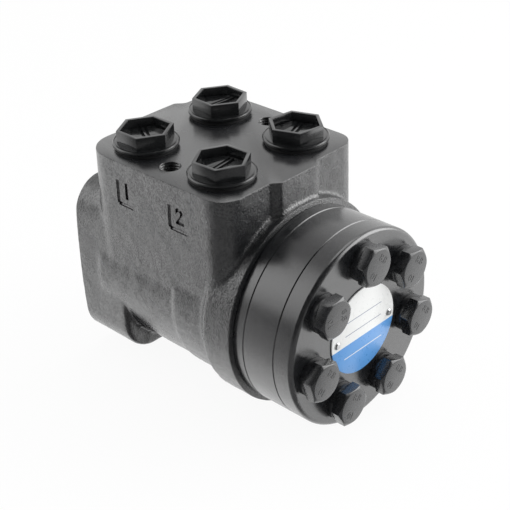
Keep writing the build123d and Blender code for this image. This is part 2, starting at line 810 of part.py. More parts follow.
# ================================================================ port plugs
flange_foot = port_face_height + plug_flange_bottom
flange_top_height = port_face_height + plug_flange_top
plug_rim = port_face_height + plug_height
cup_floor = flange_top_height + plug_floor
for number, (plug_x, plug_y) in enumerate(port_places):
    turn = plug_turns[number]
    with BuildPart() as port_plug:
        with BuildSketch(Plane.XY.offset(port_face_height - plug_shank_depth)):
            with Locations((plug_x, plug_y)):
                Circle(plug_shank_radius)
                Circle(plug_shank_bore, mode=Mode.SUBTRACT)
        extrude(amount=plug_shank_depth + plug_flange_bottom)
        with BuildSketch(Plane.XY.offset(flange_foot)):
            with Locations((plug_x, plug_y)):
                Circle(plug_flange_radius)
        extrude(amount=flange_top_height - flange_foot)
        flange_rims = port_plug.edges().filter_by(GeomType.CIRCLE).sort_by(SortBy.RADIUS)[-2:]
        chamfer(flange_rims, plug_flange_edge)
        with BuildSketch(Plane.XY.offset(flange_top_height)):
            with Locations((plug_x, plug_y)):
                RegularPolygon(plug_hex_across_flats / 2, 6, major_radius=False, rotation=turn)
        extrude(amount=plug_rim - flange_top_height)
        with BuildSketch(Plane.XY.offset(cup_floor)):
            with Locations((plug_x, plug_y)):
                RegularPolygon(plug_hex_across_flats / 2 - plug_hex_wall, 6, major_radius=False, rotation=turn)
        extrude(amount=plug_rim - cup_floor, mode=Mode.SUBTRACT)
        with BuildSketch(Plane.XY.offset(cup_floor)):
            with Locations(Location((plug_x, plug_y, 0), (0, 0, turn))):
                with PolarLocations(plug_hex_across_flats / 4, 6, start_angle=30):
                    Rectangle(plug_hex_across_flats / 2 - plug_hex_wall, plug_rib_width)
        extrude(amount=plug_rib_height)
    finish(port_plug.part, f"port_plug_{number + 1}")
    with BuildPart() as plug_seal:
        with BuildSketch(Plane.XY.offset(port_face_height)):
            with Locations((plug_x, plug_y)):
                Circle(plug_seal_radius)
                Circle(plug_shank_radius + seal_free, mode=Mode.SUBTRACT)
        extrude(amount=plug_flange_bottom)
    finish(plug_seal.part, f"plug_seal_{number + 1}")
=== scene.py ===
"""Looks of an orbital steering unit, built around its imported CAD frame.

The shaft runs along X, the port face looks up along Z, and lengths are metres.
"""

import math

import bpy
from mathutils import Matrix, Vector


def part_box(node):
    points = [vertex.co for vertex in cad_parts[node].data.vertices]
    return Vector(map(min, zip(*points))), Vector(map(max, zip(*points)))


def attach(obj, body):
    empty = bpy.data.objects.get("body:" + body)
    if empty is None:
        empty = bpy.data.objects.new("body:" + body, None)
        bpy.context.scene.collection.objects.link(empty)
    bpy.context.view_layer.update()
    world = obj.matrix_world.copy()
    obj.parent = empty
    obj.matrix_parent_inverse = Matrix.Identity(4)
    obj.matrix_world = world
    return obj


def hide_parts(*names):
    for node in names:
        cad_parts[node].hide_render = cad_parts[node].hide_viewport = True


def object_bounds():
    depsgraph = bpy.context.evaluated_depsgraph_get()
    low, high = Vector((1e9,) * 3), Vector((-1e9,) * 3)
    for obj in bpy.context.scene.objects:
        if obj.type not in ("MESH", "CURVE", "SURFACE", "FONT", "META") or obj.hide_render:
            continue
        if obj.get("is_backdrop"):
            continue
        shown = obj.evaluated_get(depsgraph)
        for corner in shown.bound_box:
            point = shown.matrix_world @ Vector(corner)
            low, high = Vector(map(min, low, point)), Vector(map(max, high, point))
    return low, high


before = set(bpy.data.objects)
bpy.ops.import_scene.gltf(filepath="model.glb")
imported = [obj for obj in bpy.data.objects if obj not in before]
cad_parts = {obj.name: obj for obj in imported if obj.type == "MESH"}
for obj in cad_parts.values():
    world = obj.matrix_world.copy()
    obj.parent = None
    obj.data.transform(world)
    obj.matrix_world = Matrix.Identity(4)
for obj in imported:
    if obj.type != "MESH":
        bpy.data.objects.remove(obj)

bl_info = {
    "name": "Orbital steering unit",
    "version": (1, 0, 0),
    "blender": (4, 5, 0),
    "location": "View3D > Sidebar > Steering unit",
    "description": "Dresses a four port orbital steering unit with its casting, plugs, screws and finishes",
    "category": "Object",
}

MM = 0.001
BODY = "housing_body"

# places that come from the frame
HOUSING_LOW, HOUSING_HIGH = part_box("housing")
PORT_FACE = HOUSING_HIGH[2]
GEAR_FACE = HOUSING_HIGH[0]
COVER_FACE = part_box("end_cover")[1][0]
SCREW_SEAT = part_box("cover_washers")[1][0]
SCREW_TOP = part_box("cover_screws")[1][0]
PLUGS = [f"port_plug_{k}" for k in (1, 2, 3, 4)]
PORT_MIDDLE_X = sum(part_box(name)[k][0] for name in PLUGS for k in (0, 1)) / 8


# ---------------------------------------------------------------- small tools
def linear(hex_colour):
    """The linear colour, with alpha, of an sRGB hex colour."""
    parts = [int(hex_colour[k:k + 2], 16) / 255 for k in (0, 2, 4)]
    return tuple(p / 12.92 if p <= 0.04045 else ((p + 0.055) / 1.055) ** 2.4 for p in parts) + (1.0,)


def node(tree, kind, settings=None, inputs=None, output=0):
    """Add a shader node, set its properties, give its inputs values or links, return an output."""
    made = tree.nodes.new("ShaderNode" + kind)
    for name, value in (settings or {}).items():
        setattr(made, name, value)
    for name, value in (inputs or {}).items():
        if isinstance(value, bpy.types.NodeSocket):
            tree.links.new(value, made.inputs[name])
        else:
            made.inputs[name].default_value = value
    return made.outputs[output]


def only(*pieces):
    """Select these pieces alone; the first is the active one."""
    bpy.ops.object.select_all(action="DESELECT")
    for piece in pieces:
        piece.select_set(True)
    bpy.context.view_layer.objects.active = pieces[0]


def pick(piece, wanted):
    """Enter edit mode on a piece with only the wanted vertices selected."""
    only(piece)
    bpy.ops.object.mode_set(mode="EDIT")
    bpy.ops.mesh.select_mode(type="VERT")
    bpy.ops.mesh.select_all(action="DESELECT")
    bpy.ops.object.mode_set(mode="OBJECT")
    for vertex in piece.data.vertices:
        vertex.select = wanted(vertex.co)
    bpy.ops.object.mode_set(mode="EDIT")


def done():
    """Leave edit mode."""
    bpy.ops.object.mode_set(mode="OBJECT")


def settle(piece):
    """Move a piece's place into its mesh."""
    only(piece)
    bpy.ops.object.transform_apply(location=True, rotation=True, scale=True)


def named(piece, name):
    """Name a piece and its mesh."""
    piece.name = name
    piece.data.name = name
    return piece


def copy_of(name, new_name):
    """A copy of a CAD node with its loose triangles merged, flat faces made whole again."""
    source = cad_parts[name]
    piece = bpy.data.objects.new(new_name, source.data.copy())
    bpy.context.scene.collection.objects.link(piece)
    named(piece, new_name)
    piece.data.materials.clear()
    pick(piece, lambda place: True)
    bpy.ops.mesh.remove_doubles(threshold=0.002 * MM)
    bpy.ops.mesh.customdata_custom_splitnormals_clear()
    done()
    return piece


def rod(name, radius, start, end, vertices=48):
    """A solid rod from one point to another."""
    start, end = Vector(start), Vector(end)
    along = end - start
    turn = along.to_track_quat("Z", "Y").to_euler()
    bpy.ops.object.select_all(action="DESELECT")
    bpy.ops.mesh.primitive_cylinder_add(
        vertices=vertices, radius=radius, depth=along.length, location=(start + end) / 2, rotation=turn)
    piece = named(bpy.context.object, name)
    settle(piece)
    return piece


def twin(piece, matrix):
    """A copy of a piece, with its own mesh, placed by a matrix."""
    copy = bpy.data.objects.new(piece.name, piece.data.copy())
    bpy.context.scene.collection.objects.link(copy)
    copy.matrix_world = matrix
    settle(copy)
    return copy


def lettering(words, height, depth):
    """Raised words around the origin, still a text object, so that more can be set."""
    bpy.ops.object.select_all(action="DESELECT")
    bpy.ops.object.text_add(location=(0, 0, 0))
    text = bpy.context.object
    text.data.body = words
    text.data.size = height
    text.data.extrude = depth
    text.data.align_x = "CENTER"
    return text


def solid_letters():
    """Turn the active text into a mesh."""
    bpy.ops.object.convert(target="MESH")
    return bpy.context.object


def joined(name, pieces):
    """Join pieces into one."""
    only(*pieces)
    if len(pieces) > 1:
        bpy.ops.object.join()
    return named(pieces[0], name)


def modify(piece, kind, **settings):
    """Add a modifier, set it and apply it."""
    only(piece)
    modifier = piece.modifiers.new(kind.lower(), kind)
    for name, value in settings.items():
        setattr(modifier, name, value)
    bpy.ops.object.modifier_apply(modifier=modifier.name)


def cut(piece, cutter, operation="DIFFERENCE", solver="MANIFOLD"):
    """Cut a piece by another, or keep what they share, and remove the cutter."""
    modify(piece, "BOOLEAN", object=cutter, operation=operation, solver=solver)
    bpy.data.objects.remove(cutter)


def rounded(piece, width, angle=30.0, segments=2):
    """Break the sharp edges of a piece and shade the rest smooth."""
    modify(piece, "BEVEL", width=width, segments=segments, limit_method="ANGLE",
           angle_limit=math.radians(angle), harden_normals=False)
    shade(piece, angle)


def shade(piece, angle=30.0):
    """Smooth shading, sharp past an angle."""
    only(piece)
    bpy.ops.object.shade_smooth_by_angle(angle=math.radians(angle))


def dress(piece, material):
    """Give a new piece its material and its body."""
    piece.data.materials.clear()
    piece.data.materials.append(material)
    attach(piece, BODY)


def refinish(name, material):
    """Give a CAD node its material."""
    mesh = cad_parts[name].data
    mesh.materials.clear()
    mesh.materials.append(material)


# ---------------------------------------------------------------- finishes
FLAT_SKIN = 0.15 * MM          # a machined face reaches this far into the casting
ROW_WIDTH = 0.4 * MM
LINE_SCALE = 0.16              # a wave texture's scale times the width of one of its lines


def new_finish(name):
    """A new material with its node tree and its surface shader."""
    material = bpy.data.materials.new(name)
    material.use_nodes = True
    tree = material.node_tree
    return material, tree, tree.nodes["Principled BSDF"]


def surface(tree, shader, colour, roughness, height, strength, depth):
    """Link a finish's colour, its roughness and its relief, depth metres deep, to its shader."""
    normal = node(tree, "Bump", None, {"Height": height, "Strength": strength, "Distance": depth})
    tree.links.new(colour, shader.inputs["Base Color"])
    tree.links.new(roughness, shader.inputs["Roughness"])
    tree.links.new(normal, shader.inputs["Normal"])


def cast_iron_paint(colours):
    """Black machinery paint sprayed over sand-cast grey iron.

    The paint follows the sand grain, so walls glint softly, and only the machined faces lie flat.
    """
    material, tree, shader = new_finish("sand_cast_iron_black_paint")
    place = node(tree, "TexCoord", output="Object")
    axis = node(tree, "SeparateXYZ", None, {0: place}).node.outputs
    flat_top = node(tree, "Math", {"operation": "GREATER_THAN"}, {0: axis["Z"], 1: PORT_FACE - FLAT_SKIN})
    flat_front = node(tree, "Math", {"operation": "LESS_THAN"}, {0: axis["X"], 1: FLAT_SKIN})
    flat = node(tree, "Math", {"operation": "MAXIMUM"}, {0: flat_top, 1: flat_front})
    sand = node(tree, "TexNoise", None,
                {"Vector": place, "Scale": 1 / (0.8 * MM), "Detail": 2.5, "Roughness": 0.6})
    blown = node(tree, "TexNoise", None,
                 {"Vector": place, "Scale": 1 / (1.4 * MM), "Detail": 3.0, "Roughness": 0.6})
    pits = node(tree, "MapRange", None, {"Value": blown, "From Min": 0.62, "From Max": 0.78})
    cloud = node(tree, "TexNoise", None,
                 {"Vector": place, "Scale": 1 / (14 * MM), "Detail": 2.0, "Roughness": 0.5})
    # the mould was coarser towards the gear set and round the column flange
    gear_side = node(tree, "MapRange", None, {"Value": axis["X"], "From Min": 70 * MM, "From Max": 84 * MM})
    column_side = node(tree, "MapRange", None, {"Value": axis["X"], "From Min": 12 * MM, "From Max": 4 * MM})
    coarse = node(tree, "Math", {"operation": "MAXIMUM"}, {0: gear_side, 1: column_side})
    strength = node(tree, "MapRange", None, {"Value": coarse, "To Min": 0.45})
    # cutter marks on the machined faces, about 1 mm wide, coarser than the cutter's so that they show
    cutter = node(tree, "TexWave", {"wave_type": "BANDS", "bands_direction": "DIAGONAL"},
                  {"Vector": place, "Scale": LINE_SCALE / (0.8 * MM), "Distortion": 1.5, "Detail": 2.0},
                  "Fac")
    shallow = node(tree, "Math", {"operation": "MULTIPLY"}, {0: pits, 1: 0.4})
    skin = node(tree, "Math", {"operation": "SUBTRACT"}, {0: sand, 1: shallow})
    cast_height = node(tree, "Math", {"operation": "MULTIPLY"}, {0: skin, 1: strength})
    cut_height = node(tree, "Math", {"operation": "MULTIPLY"}, {0: cutter, 1: 0.02})
    height = node(tree, "Mix", {"data_type": "FLOAT"}, {0: flat, 2: cast_height, 3: cut_height})
    thin = node(tree, "MapRange", None, {"Value": cloud, "From Min": 0.35, "From Max": 0.65})
    base = node(tree, "Mix", {"data_type": "RGBA"}, {0: thin, 6: colours.paint_dark, 7: colours.paint}, 2)
    roughness = node(tree, "MapRange", None,
                     {"Value": cloud, "From Min": 0.3, "From Max": 0.7, "To Min": 0.22, "To Max": 0.3})
    surface(tree, shader, base, roughness, height, 0.8, 0.3 * MM)
    # the hollows of the sand grain hold thicker, duller paint; the lower specular level there is also painted
    # shade, which darkens the reflections in the hollows
    shaded_hollow = node(tree, "MapRange", None,
                  {"Value": sand, "From Min": 0.36, "From Max": 0.56, "To Min": 1.0, "To Max": 0.0})
    cast = node(tree, "Math", {"operation": "SUBTRACT"}, {0: 1.0, 1: flat})
    dull = node(tree, "Math", {"operation": "MULTIPLY"}, {0: shaded_hollow, 1: cast})
    specular = node(tree, "MapRange", None, {"Value": dull, "To Min": 0.60, "To Max": 0.32})
    tree.links.new(specular, shader.inputs["Specular IOR Level"])
    shader.inputs["IOR"].default_value = 2.0
    return material


def turned_paint(colours):
    """Thin black paint over turned steel: even, satin, with the lathe's rings faint under it.

    The rings are about 0.9 mm wide, coarser than a lathe's so that they show.
    """
    material, tree, shader = new_finish("turned_steel_black_paint")
    place = node(tree, "TexCoord", output="Object")
    rings = node(tree, "TexWave", {"wave_type": "RINGS", "rings_direction": "X"},
                 {"Vector": place, "Scale": LINE_SCALE / (0.9 * MM), "Distortion": 0.6, "Detail": 1.0}, "Fac")
    peel = node(tree, "TexNoise", None,
                {"Vector": place, "Scale": 1 / (2.2 * MM), "Detail": 2.0, "Roughness": 0.5})
    dust = node(tree, "TexNoise", None,
                {"Vector": place, "Scale": 1 / (0.8 * MM), "Detail": 2.0, "Roughness": 0.5})
    faint = node(tree, "Math", {"operation": "MULTIPLY"}, {0: rings, 1: 0.1})
    spray = node(tree, "Math", {"operation": "ADD"}, {0: peel, 1: dust})
    height = node(tree, "Math", {"operation": "ADD"}, {0: faint, 1: spray})
    thin = node(tree, "MapRange", None, {"Value": peel, "From Min": 0.35, "From Max": 0.65})
    base = node(tree, "Mix", {"data_type": "RGBA"}, {0: thin, 6: colours.paint_dark, 7: colours.paint}, 2)
    roughness = node(tree, "MapRange", None,
                     {"Value": dust, "From Min": 0.3, "From Max": 0.7, "To Min": 0.2, "To Max": 0.27})
    surface(tree, shader, base, roughness, height, 0.12, 0.05 * MM)
    shader.inputs["IOR"].default_value = 2.1
    return material


def mottled(name, dark, light, wide, narrow, detail, share, roughness_range, strength, depth, ior):
    """A dark finish with wide blotches in its colour and narrow ones in its gloss.

    Both widths are metres; share is how much the narrow blotches add to the relief.
    """
    material, tree, shader = new_finish(name)
    place = node(tree, "TexCoord", output="Object")
    blotch = node(tree, "TexNoise", None,
                  {"Vector": place, "Scale": 1 / wide, "Detail": detail, "Roughness": 0.5})
    fine = node(tree, "TexNoise", None,
                {"Vector": place, "Scale": 1 / narrow, "Detail": 2.0, "Roughness": 0.5})
    faint = node(tree, "Math", {"operation": "MULTIPLY"}, {0: fine, 1: share})
    height = node(tree, "Math", {"operation": "ADD"}, {0: blotch, 1: faint})
    thin = node(tree, "MapRange", None, {"Value": blotch, "From Min": 0.35, "From Max": 0.65})
    base = node(tree, "Mix", {"data_type": "RGBA"}, {0: thin, 6: dark, 7: light}, 2)
    smooth, dull = roughness_range
    roughness = node(tree, "MapRange", None,
                     {"Value": fine, "From Min": 0.3, "From Max": 0.7, "To Min": smooth, "To Max": dull})
    surface(tree, shader, base, roughness, height, strength, depth)
    shader.inputs["IOR"].default_value = ior
    return material


def black_oxide(colours, name, gloss):
    """Forged steel with a black oxide and a little oil: dark, softly shining, slightly uneven."""
    return mottled(name, colours.screw_dark, colours.screw, wide=3.0 * MM, narrow=0.7 * MM, detail=3.0,
                   share=0.1, roughness_range=(gloss - 0.06, gloss + 0.06), strength=0.12, depth=0.08 * MM,
                   ior=1.8)


def moulded_plastic(colours):
    """Injection moulded polyethylene, black: glossy on its flats with faint flow marks."""
    return mottled("moulded_polyethylene_black", colours.plastic_dark, colours.plastic, wide=5.0 * MM,
                   narrow=0.9 * MM, detail=2.0, share=0.2, roughness_range=(0.16, 0.24), strength=0.08,
                   depth=0.05 * MM, ior=1.7)


def nitrile_rubber(colours, name):
    """Moulded nitrile rubber: matt black with a slight bloom."""
    material, tree, shader = new_finish(name)
    place = node(tree, "TexCoord", output="Object")
    bloom = node(tree, "TexNoise", None,
                 {"Vector": place, "Scale": 1 / (1.6 * MM), "Detail": 3.0, "Roughness": 0.6})
    base = node(tree, "Mix", {"data_type": "RGBA"}, {0: bloom, 6: colours.rubber, 7: colours.plastic}, 2)
    roughness = node(tree, "MapRange", None,
                     {"Value": bloom, "From Min": 0.3, "From Max": 0.7, "To Min": 0.6, "To Max": 0.75})
    surface(tree, shader, base, roughness, bloom, 0.2, 0.05 * MM)
    shader.inputs["IOR"].default_value = 1.52
    return material


def ground_steel(name, colour, gloss, line_width):
    """Hardened steel, ground round the shaft: bright, with fine rings that stretch its highlights."""
    material, tree, shader = new_finish(name)
    place = node(tree, "TexCoord", output="Object")
    lines = node(tree, "TexWave", {"wave_type": "BANDS", "bands_direction": "X"},
                 {"Vector": place, "Scale": LINE_SCALE / line_width, "Distortion": 2.0, "Detail": 3.0}, "Fac")
    wear = node(tree, "TexNoise", None,
                {"Vector": place, "Scale": 1 / (4.0 * MM), "Detail": 3.0, "Roughness": 0.6})
    worn = node(tree, "MapRange", None, {"Value": wear, "From Min": 0.35, "From Max": 0.65})
    shaded = tuple(part * 0.75 for part in colour[:3]) + (1.0,)
    base = node(tree, "Mix", {"data_type": "RGBA"}, {0: worn, 6: shaded, 7: colour}, 2)
    roughness = node(tree, "MapRange", None, {"Value": lines, "To Min": gloss, "To Max": gloss + 0.1})
    surface(tree, shader, base, roughness, lines, 0.15, 0.02 * MM)
    shader.inputs["Metallic"].default_value = 1.0
    return material


def printed_foil(colours, sizes):
    """Printed polyester foil on aluminium: white with a blue field below, ruled with blank rows."""
    material, tree, shader = new_finish("printed_label_foil")
    place = node(tree, "TexCoord", output="Object")
    axis = node(tree, "SeparateXYZ", None, {0: place}).node.outputs
    field = node(tree, "Math", {"operation": "LESS_THAN"}, {0: axis["Z"], 1: sizes.label_line})

    def row(height, reach):
        """One where a ruled row runs, reach metres to each side, and nought elsewhere."""
        above = node(tree, "Math", {"operation": "SUBTRACT"}, {0: axis["Z"], 1: height})
        near = node(tree, "Math", {"operation": "ABSOLUTE"}, {0: above})
        out = node(tree, "Math", {"operation": "ABSOLUTE"}, {0: axis["Y"]})
        inside = node(tree, "Math", {"operation": "LESS_THAN"}, {0: out, 1: reach})
        inked = node(tree, "Math", {"operation": "LESS_THAN"}, {0: near, 1: ROW_WIDTH / 2})
        return node(tree, "Math", {"operation": "MULTIPLY"}, {0: inked, 1: inside})

    ink_rows = node(tree, "Math", {"operation": "MAXIMUM"},
                    {0: row(1.6 * MM, 11.5 * MM), 1: row(7.6 * MM, 11.5 * MM)})
    white_row = row(-9.2 * MM, 12.0 * MM)
    fibre = node(tree, "TexNoise", None,
                 {"Vector": place, "Scale": 1 / (1.5 * MM), "Detail": 2.0, "Roughness": 0.5})
    ground = node(tree, "Mix", {"data_type": "RGBA"},
                  {0: field, 6: colours.label_white, 7: colours.label_blue}, 2)
    ruled = node(tree, "Mix", {"data_type": "RGBA"}, {0: ink_rows, 6: ground, 7: colours.label_ink}, 2)
    marked = node(tree, "Mix", {"data_type": "RGBA"}, {0: white_row, 6: ruled, 7: colours.label_white}, 2)
    roughness = node(tree, "MapRange", None,
                     {"Value": fibre, "From Min": 0.3, "From Max": 0.7, "To Min": 0.26, "To Max": 0.36})
    surface(tree, shader, marked, roughness, fibre, 0.03, 0.02 * MM)
    return material


# ---------------------------------------------------------------- sizes and colours
class SteeringUnitSizes(bpy.types.PropertyGroup):
    """Sizes of the dressing that a user may change."""
    casting_grid: bpy.props.FloatProperty(
        name="Casting grid", description="Fineness of the cast surface", default=0.9 * MM, unit="LENGTH")
    casting_wave: bpy.props.FloatProperty(
        name="Casting wave", description="Depth of the uneven cast skin", default=0.28 * MM, unit="LENGTH")
    stock: bpy.props.FloatProperty(
        name="Machining stock", description="What is left on the casting before it is machined",
        default=2.0 * MM, unit="LENGTH")
    mark_depth: bpy.props.FloatProperty(
        name="Mark depth", description="Depth of the cast port numbers", default=0.9 * MM, unit="LENGTH")
    thread_pitch: bpy.props.FloatProperty(
        name="Thread pitch", description="Pitch of the M10 threads", default=1.25 * MM, unit="LENGTH")
    thread_depth: bpy.props.FloatProperty(
        name="Thread depth", description="Height of the M10 thread's flanks", default=0.6 * MM, unit="LENGTH")
    head_mark: bpy.props.FloatProperty(
        name="Head mark", description="Height of the raised class number on a screw head",
        default=0.10 * MM, unit="LENGTH")
    plug_edge: bpy.props.FloatProperty(
        name="Plug edge", description="Rounding of the moulded plugs", default=0.25 * MM, unit="LENGTH")
    label_line: bpy.props.FloatProperty(
        name="Label line", description="Height of the top of the blue field",
        default=-3.0 * MM, unit="LENGTH")


def colour_property(name, description, hex_colour):
    """A colour setting with its default given in sRGB hex."""
    return bpy.props.FloatVectorProperty(
        name=name, description=description, subtype="COLOR", size=4, min=0.0, max=1.0,
        default=linear(hex_colour))


class SteeringUnitColours(bpy.types.PropertyGroup):
    """Colours of the dressing that a user may change."""
    paint: colour_property("Paint", "Black machinery paint", "1d1e20")
    paint_dark: colour_property("Paint, thick", "The paint where it lies thick", "131416")
    screw: colour_property("Screws", "Black oxide on the screws", "1e1f22")
    screw_dark: colour_property("Screws, dark", "Oil stained black oxide", "131416")
    plastic: colour_property("Plugs", "Black polyethylene", "1b1c1d")
    plastic_dark: colour_property("Plugs, dark", "Flow marks in the polyethylene", "141516")
    rubber: colour_property("Seals", "Nitrile rubber", "121213")
    steel: colour_property("Steel", "Ground steel", "c3c5c7")
    label_white: colour_property("Label white", "Ground of the label", "e6e7e6")
    label_blue: colour_property("Label blue", "Lower field of the label", "5c98d6")
    label_ink: colour_property("Label ink", "Ruled rows of the label", "8a93a2")


def sizes_of(context):
    """The sizes in use."""
    return context.scene.steering_unit_sizes


def colours_of(context):
    """The colours in use."""
    return context.scene.steering_unit_colours


# ---------------------------------------------------------------- casting
BLOCK_SCREWS = (-29.4 * MM, 29.4 * MM)
COLUMN_SCREWS = [(sy * 29.168 * MM, sz * 29.168 * MM) for sy in (-1, 1) for sz in (-1, 1)]
# lower left and upper right corner of each cast mark, along X and Z
CAST_MARKS = (((31.7 * MM, 40.4 * MM), (40.5 * MM, 51.0 * MM)),
              ((63.0 * MM, 39.9 * MM), (73.0 * MM, 50.2 * MM)))
MARK_STROKE = 1.9 * MM
MARK_FATTEN = 0.36 * MM
NEAR = 0.05 * MM               # what counts as lying on a face
# metal that closes the solid's holes again, because a raw casting has none
SHAFT_CORE_RADIUS = 25 * MM
GEAR_END_RADIUS = 43 * MM
GEAR_END_LENGTH = 36 * MM
PORT_CORE_RADIUS = 13 * MM
SCREW_CORE_RADIUS = 6 * MM
CORE_DEPTH = 22 * MM
# what the machining takes away
OVERRUN = 2 * MM               # a tool runs out this far past a face
PORT_RADIUS = 10.48 * MM
PORT_DEPTH = 16 * MM
TAP_RADIUS = 5 * MM
TAP_DEPTH = 18 * MM
TAP_LEAD = 0.4 * MM
BORES = (
    # name, radius, start and end along the shaft
    ("bore", 19 * MM, 13.5 * MM, GEAR_FACE + OVERRUN),
    ("seal_pocket", 17.5 * MM, 6.9 * MM, 13.6 * MM),
    ("dust_pocket", 18 * MM, -OVERRUN, 5 * MM),
    ("land", 13.6 * MM, -OVERRUN, 14 * MM),
)


def port_middle(name):
    """The x and y of a port plug's middle."""
    low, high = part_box(name)
    return (low[0] + high[0]) / 2, (low[1] + high[1]) / 2


def threaded_rod(sizes, foot, direction):
    """A rod with thread rings, for cutting a tapped hole from a foot along a direction."""
    bpy.ops.object.select_all(action="DESELECT")
    bpy.ops.mesh.primitive_circle_add(vertices=40, radius=TAP_RADIUS, fill_type="NGON", location=(0, 0, 0))
    piece = named(bpy.context.object, "tapped")
    pitch = sizes.thread_pitch
    root = (TAP_RADIUS - sizes.thread_depth) / TAP_RADIUS
    bpy.ops.object.mode_set(mode="EDIT")
    for _ in range(int(Vector(direction).length / pitch)):
        for scale in (root, 1 / root):
            bpy.ops.mesh.extrude_region_move(TRANSFORM_OT_translate={"value": (0, 0, pitch / 2)})
            bpy.ops.transform.resize(value=(scale, scale, 1))
    bpy.ops.mesh.select_all(action="SELECT")
    bpy.ops.mesh.normals_make_consistent(inside=False)
    done()
    turned = Vector(direction).to_track_quat("Z", "Y").to_matrix().to_4x4()
    piece.matrix_world = Matrix.Translation(foot) @ turned
    settle(piece)
    return piece


def cast_mark(number, low, high, wall, depth):
    """A cutter for a cast number in its half frame, on the wall that looks along -Y."""
    (left, foot), (right, top) = low, high
    pieces = [rod("mark_frame", MARK_STROKE / 2, (left, wall, foot), end, 12)
              for end in ((left, wall, top), (right, wall, foot))]
    text = lettering(str(number), (top - foot) * 0.95, depth)
    text.data.offset = MARK_FATTEN
    text.data.align_y = "CENTER"
    text = solid_letters()
    middle = ((left + right + MARK_STROKE) / 2, wall, (foot + top + MARK_STROKE) / 2)
    text.matrix_world = Matrix.Translation(middle) @ Matrix.Rotation(math.radians(90), 4, "X")
    settle(text)
    return pieces + [text]


class SteeringUnitCasting(bpy.types.Operator):
    """Model the sand-cast housing with its machined faces, ports and tapped holes"""
    bl_idname = "steering_unit.casting"
    bl_label = "Casting"

    def execute(self, context):
        sizes, colours = sizes_of(context), colours_of(context)
        stock = sizes.stock
        raw = self.raw_casting(stock)
        modify(raw, "REMESH", mode="VOXEL", voxel_size=sizes.casting_grid)
        modify(raw, "SMOOTH", factor=0.5, iterations=5)
        for name, width, depth in (("casting_skin", 7 * MM, sizes.casting_wave),
                                   ("casting_sand", 2.2 * MM, sizes.casting_wave * 0.5)):
            texture = bpy.data.textures.new(name, "CLOUDS")
            texture.noise_scale = width
            texture.noise_depth = 2
            modify(raw, "DISPLACE", texture=texture, strength=depth, mid_level=0.8, texture_coords="LOCAL")
        # machined faces
        for place, normal in (((0, 0, PORT_FACE), (0, 0, 1)), ((0, 0, 0), (-1, 0, 0)),
                              ((GEAR_FACE, 0, 0), (1, 0, 0))):
            pick(raw, lambda _: True)
            bpy.ops.mesh.bisect(plane_co=place, plane_no=normal, use_fill=True, clear_outer=True)
            done()
        modify(raw, "BEVEL", width=0.3 * MM, segments=2, limit_method="ANGLE", angle_limit=math.radians(60))
        self.drill(raw, sizes, stock)
        # cast numbers in their half frames
        for number, (low, high) in enumerate(CAST_MARKS, start=1):
            start = Vector(((low[0] + high[0]) / 2, HOUSING_LOW[1] - 10 * MM, (low[1] + high[1]) / 2))
            wall = raw.ray_cast(start, Vector((0, 1, 0)))[1].y
            for cutter in cast_mark(number, low, high, wall, sizes.mark_depth):
                cut(raw, cutter, solver="EXACT")
        shade(raw, 35)
        dress(raw, cast_iron_paint(colours))
        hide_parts("housing")
        return {"FINISHED"}

    def raw_casting(self, stock):
        """The housing as it leaves the mould: no holes, and stock on the faces to be machined."""
        raw = copy_of("housing", "housing_casting")
        for wanted, shift in ((lambda place: place.z > PORT_FACE - NEAR, (0, 0, stock)),
                              (lambda place: place.x < NEAR, (-stock, 0, 0)),
                              (lambda place: place.x > GEAR_FACE - NEAR, (stock, 0, 0))):
            pick(raw, wanted)
            bpy.ops.transform.translate(value=shift)
            done()
        fill = [raw, rod("core", SHAFT_CORE_RADIUS, (-stock, 0, 0), (GEAR_FACE, 0, 0)),
                rod("gear_end", GEAR_END_RADIUS, (GEAR_FACE - GEAR_END_LENGTH, 0, 0),
                    (GEAR_FACE + stock, 0, 0))]
        uprights = [(PORT_CORE_RADIUS, port_middle(name)) for name in PLUGS]
        uprights += [(SCREW_CORE_RADIUS, (PORT_MIDDLE_X, y)) for y in BLOCK_SCREWS]
        for radius, (x, y) in uprights:
            fill.append(rod("core", radius, (x, y, PORT_FACE - CORE_DEPTH), (x, y, PORT_FACE + stock)))
        for y, z in COLUMN_SCREWS:
            fill.append(rod("core", SCREW_CORE_RADIUS, (-stock, y, z), (CORE_DEPTH, y, z)))
        return joined("housing_casting", fill)

    def drill(self, raw, sizes, stock):
        """Drill the ports, tap the screw holes and bore the middle."""
        holes = []
        for x, y in map(port_middle, PLUGS):
            foot, top = PORT_FACE - PORT_DEPTH, PORT_FACE + stock
            holes.append(rod("port", PORT_RADIUS, (x, y, foot), (x, y, top), 64))
        for y in BLOCK_SCREWS:
            holes.append(threaded_rod(sizes, (PORT_MIDDLE_X, y, PORT_FACE + TAP_LEAD), (0, 0, -TAP_DEPTH)))
        for y, z in COLUMN_SCREWS:
            holes.append(threaded_rod(sizes, (-TAP_LEAD, y, z), (TAP_DEPTH, 0, 0)))
        cut(raw, joined("hole_tools", holes))
        for name, radius, start, end in BORES:
            cut(raw, rod(name, radius, (start, 0, 0), (end, 0, 0), 96))


# ---------------------------------------------------------------- gear set
class SteeringUnitGearSet(bpy.types.Operator):
    """Finish the distributor plate, the gear ring and the end cover"""
    bl_idname = "steering_unit.gear_set"
    bl_label = "Gear set"

    def execute(self, context):
        paint = turned_paint(colours_of(context))
        for name in ("distributor_plate", "gear_ring", "end_cover"):
            refinish(name, paint)
        return {"FINISHED"}


